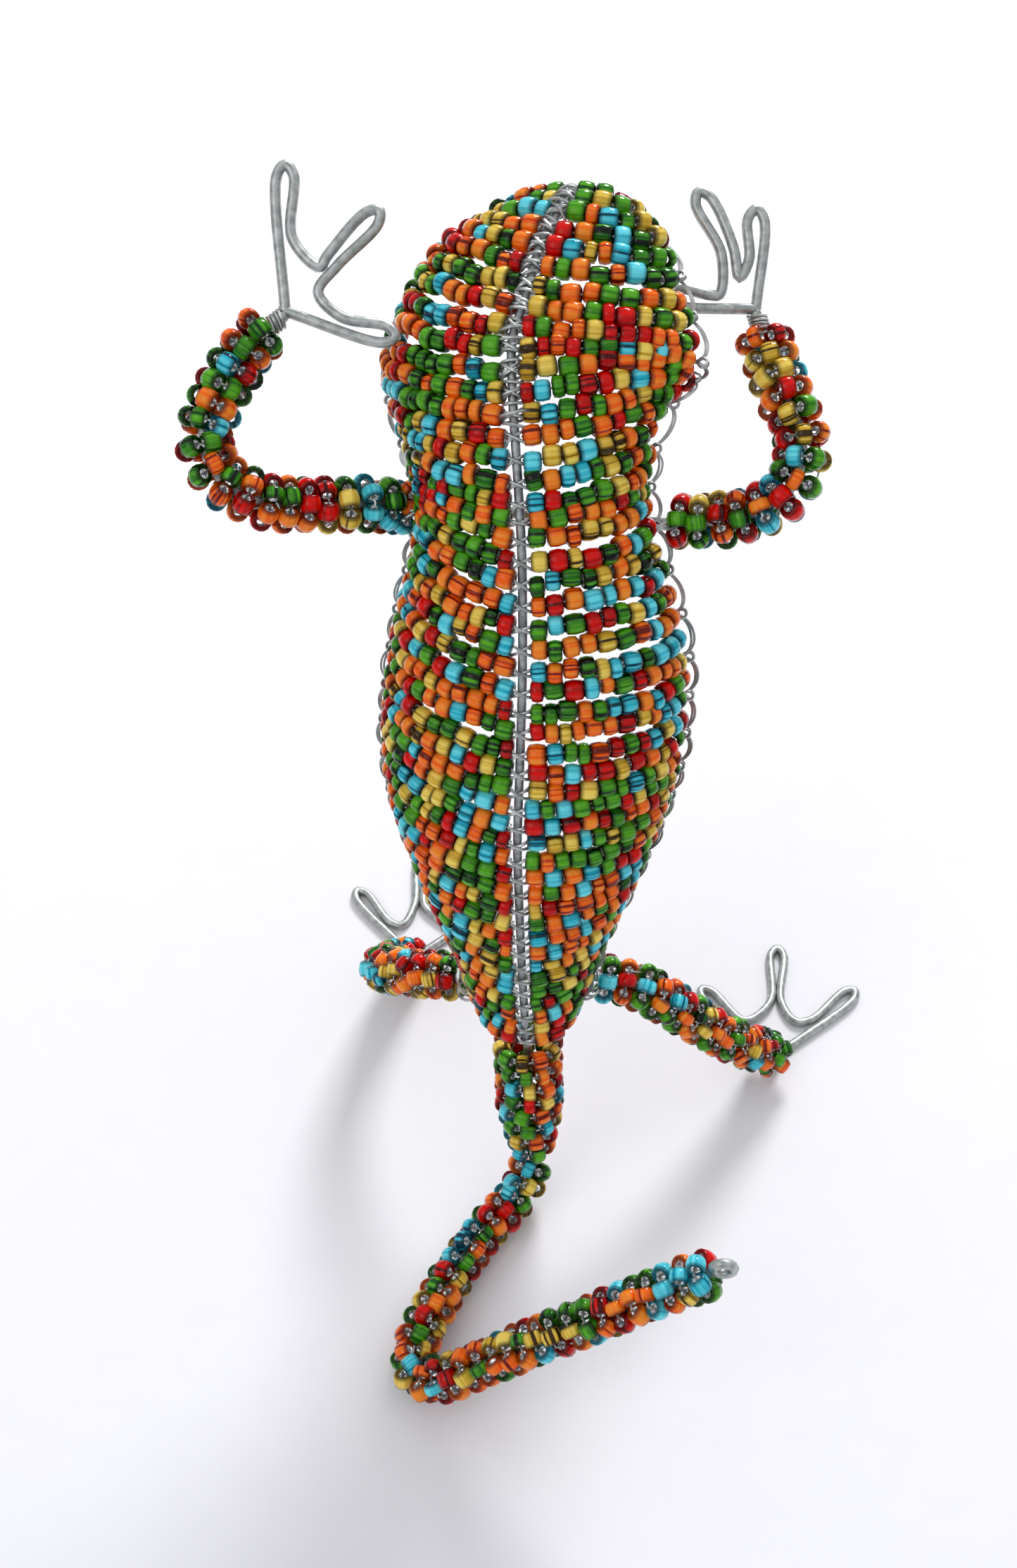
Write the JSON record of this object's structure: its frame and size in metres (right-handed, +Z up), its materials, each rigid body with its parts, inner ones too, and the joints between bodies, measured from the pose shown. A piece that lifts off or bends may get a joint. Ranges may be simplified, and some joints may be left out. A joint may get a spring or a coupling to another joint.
{
  "type": "beaded lizard figure",
  "caption": "Small lizard rearing up on its hind feet and tail, made of glass seed beads strung on bendable wire, with looped wire toes.",
  "frame": {"origin": "bottom centre of the figure's box, on the table it stands on", "axes": "+Z up; +Y the way the lizard looks; +X to the lizard's right side, seen from behind"},
  "size_m": [0.1196, 0.1268, 0.1624],
  "materials": {
    "galvanised_wire": "galvanised steel wire, dull grey",
    "soft_wire": "soft annealed wire, pale and slightly mottled",
    "bright_wire": "fine bright tying wire",
    "orange_glass": "silver-lined glass seed beads, orange",
    "green_glass": "silver-lined glass seed beads, green",
    "red_glass": "silver-lined glass seed beads, red",
    "aqua_glass": "silver-lined glass seed beads, aqua",
    "gold_glass": "silver-lined glass seed beads, gold"
  },
  "bodies": {
    "body": {"spine_wire": "galvanised_wire", "left_edge_wire": "galvanised_wire", "right_edge_wire": "galvanised_wire", "left_hip_beads": "green_glass", "left_lower_back_beads": "orange_glass", "left_upper_back_beads": "aqua_glass", "left_neck_beads": "orange_glass", "left_head_beads": "red_glass", "right_hip_beads": "green_glass", "right_lower_back_beads": "orange_glass", "right_upper_back_beads": "aqua_glass", "right_neck_beads": "orange_glass", "right_head_beads": "red_glass", "front_leg_crosswire": "soft_wire", "hind_leg_crosswire": "soft_wire", "left_shoulder_tie": "bright_wire", "right_shoulder_tie": "bright_wire", "left_hip_tie": "bright_wire", "right_hip_tie": "bright_wire", "tail_root_beads": "green_glass"},
    "left_upper_arm": {"left_upper_arm_wire": "soft_wire", "left_upper_arm_beads": "orange_glass"},
    "left_forearm": {"left_hand_wire": "soft_wire", "left_forearm_beads": "red_glass", "left_wrist_binding": "bright_wire"},
    "left_thigh": {"left_thigh_wire": "soft_wire", "left_thigh_beads": "orange_glass"},
    "left_shin": {"left_foot_wire": "soft_wire", "left_shin_beads": "red_glass", "left_ankle_binding": "bright_wire"},
    "right_upper_arm": {"right_upper_arm_wire": "soft_wire", "right_upper_arm_beads": "orange_glass"},
    "right_forearm": {"right_hand_wire": "soft_wire", "right_forearm_beads": "red_glass", "right_wrist_binding": "bright_wire"},
    "right_thigh": {"right_thigh_wire": "soft_wire", "right_thigh_beads": "orange_glass"},
    "right_shin": {"right_foot_wire": "soft_wire", "right_shin_beads": "red_glass", "right_ankle_binding": "bright_wire"},
    "tail_middle": {"tail_middle_wire": "soft_wire", "tail_middle_beads": "aqua_glass"},
    "tail_tip": {"tail_tip_wire": "soft_wire", "tail_tip_beads": "gold_glass"}
  },
  "joints": [
    {"name": "left_shoulder_bend", "type": "hinge", "parent": "body", "child": "left_upper_arm", "pos_m": [-0.02527, 0.03301, 0.1186], "axis": [0, -0.7828, 0.6222], "range_deg": [-2, 18]},
    {"name": "left_elbow_bend", "type": "hinge", "parent": "left_upper_arm", "child": "left_forearm", "pos_m": [-0.05499, 0.0278, 0.13279], "axis": [0, 0.6247, -0.7809], "range_deg": [-50, 4]},
    {"name": "left_hip_bend", "type": "hinge", "parent": "body", "child": "left_thigh", "pos_m": [-0.01794, 0.00124, 0.03972], "axis": [1, 0, 0], "range_deg": [-30, 30]},
    {"name": "left_knee_bend", "type": "hinge", "parent": "left_thigh", "child": "left_shin", "pos_m": [-0.03324, 0.01603, 0.02292], "axis": [0, -0.7413, -0.6712], "range_deg": [-45, 30]},
    {"name": "right_shoulder_bend", "type": "hinge", "parent": "body", "child": "right_upper_arm", "pos_m": [0.01493, 0.02738, 0.12055], "axis": [0, -0.7828, 0.6222], "range_deg": [-25, 14]},
    {"name": "right_elbow_bend", "type": "hinge", "parent": "right_upper_arm", "child": "right_forearm", "pos_m": [0.03416, 0.02842, 0.13158], "axis": [0, 0.6247, -0.7809], "range_deg": [-20, 50]},
    {"name": "right_hip_bend", "type": "hinge", "parent": "body", "child": "right_thigh", "pos_m": [0.0055, 0.00001, 0.04132], "axis": [1, 0, 0], "range_deg": [-30, 30]},
    {"name": "right_knee_bend", "type": "hinge", "parent": "right_thigh", "child": "right_shin", "pos_m": [0.02572, 0.00134, 0.02504], "axis": [0, 0.7413, 0.6712], "range_deg": [-40, 40]},
    {"name": "tail_base_bend", "type": "hinge", "parent": "body", "child": "tail_middle", "pos_m": [-0.00565, -0.01715, 0.0086], "axis": [0, 0, 1], "range_deg": [-45, 45]},
    {"name": "tail_turn_bend", "type": "hinge", "parent": "tail_middle", "child": "tail_tip", "pos_m": [-0.0258, -0.05415, 0.00448], "axis": [0, 0, 1], "range_deg": [-70, 20]}
  ]
}
